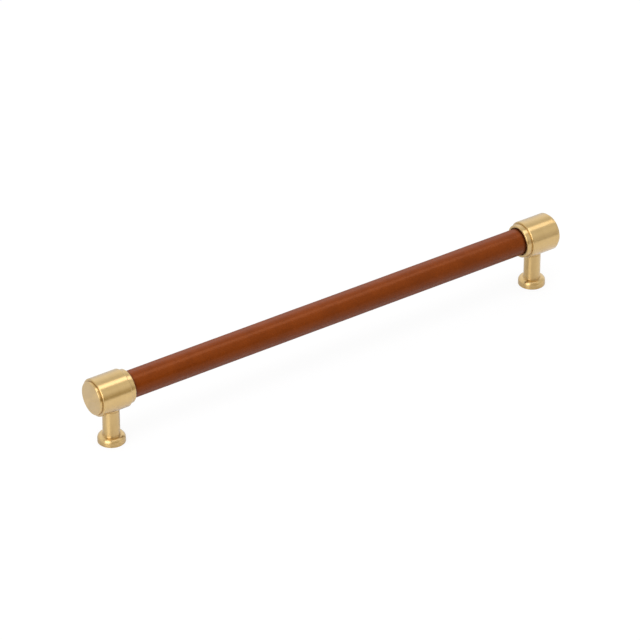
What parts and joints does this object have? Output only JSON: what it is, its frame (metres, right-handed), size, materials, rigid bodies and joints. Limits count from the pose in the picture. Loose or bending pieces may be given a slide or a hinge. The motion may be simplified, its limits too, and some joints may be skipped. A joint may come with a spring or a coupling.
{
  "type": "cabinet pull",
  "caption": "Bar pull for a cabinet door or drawer: a leather-wrapped round bar held in turned satin brass barrels on short round posts with disc feet.",
  "frame": {"origin": "on the cabinet's face, midway between the two feet", "axes": "+X along the bar towards the right end, +Z away from the cabinet's face, +Y across the bar"},
  "size_m": [0.2778, 0.0194, 0.0375],
  "materials": {
    "brass": "satin, lightly brushed round the turned surfaces, clear lacquered",
    "leather": "smooth saddle leather, satin waxed",
    "tube_steel": "plain drawn tube",
    "stud_steel": "dark oxide set screw"
  },
  "bodies": {
    "root": {"core_tube": "tube_steel", "leather_sleeve": "leather", "left_barrel": "brass", "left_end_cap": "brass", "left_post": "brass", "left_stud": "stud_steel", "right_barrel": "brass", "right_end_cap": "brass", "right_post": "brass", "right_stud": "stud_steel"}
  },
  "joints": []
}
